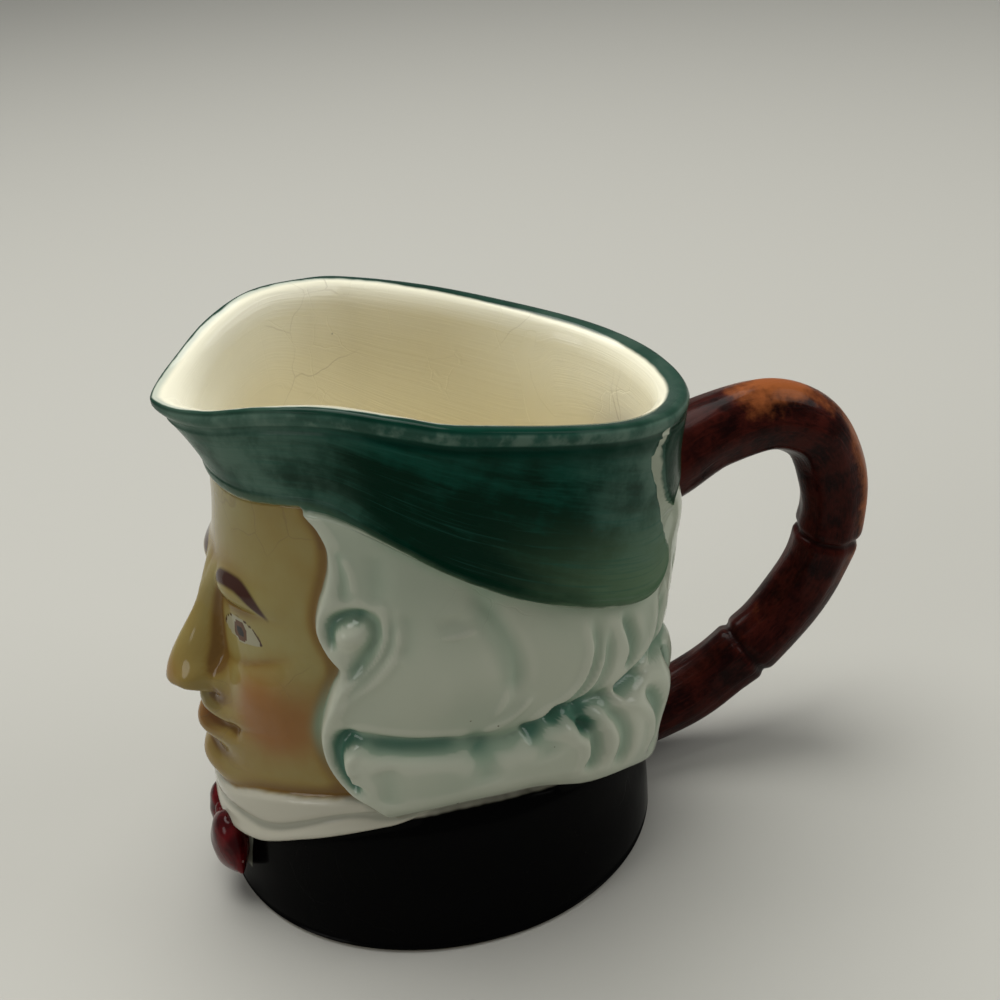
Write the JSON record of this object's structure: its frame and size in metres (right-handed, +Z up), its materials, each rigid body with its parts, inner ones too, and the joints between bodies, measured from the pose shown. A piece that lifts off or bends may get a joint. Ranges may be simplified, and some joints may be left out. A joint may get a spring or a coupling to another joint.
{
  "type": "toby jug",
  "caption": "Pottery head jug with a pointed spout, turned-up hat, curled wig, bow and coat, and a branch handle behind.",
  "frame": {"origin": "middle of the underside, on the ground, on the vertical axis of the pot", "axes": "+Z up; the face and the spout look along -Y and the handle stands at +Y; +X is the figure's left side"},
  "size_m": [0.0822, 0.1467, 0.1081],
  "materials": {
    "glazed_pottery": "glossy painted glaze"
  },
  "bodies": {
    "root": {"jug": "glazed_pottery"}
  },
  "joints": []
}
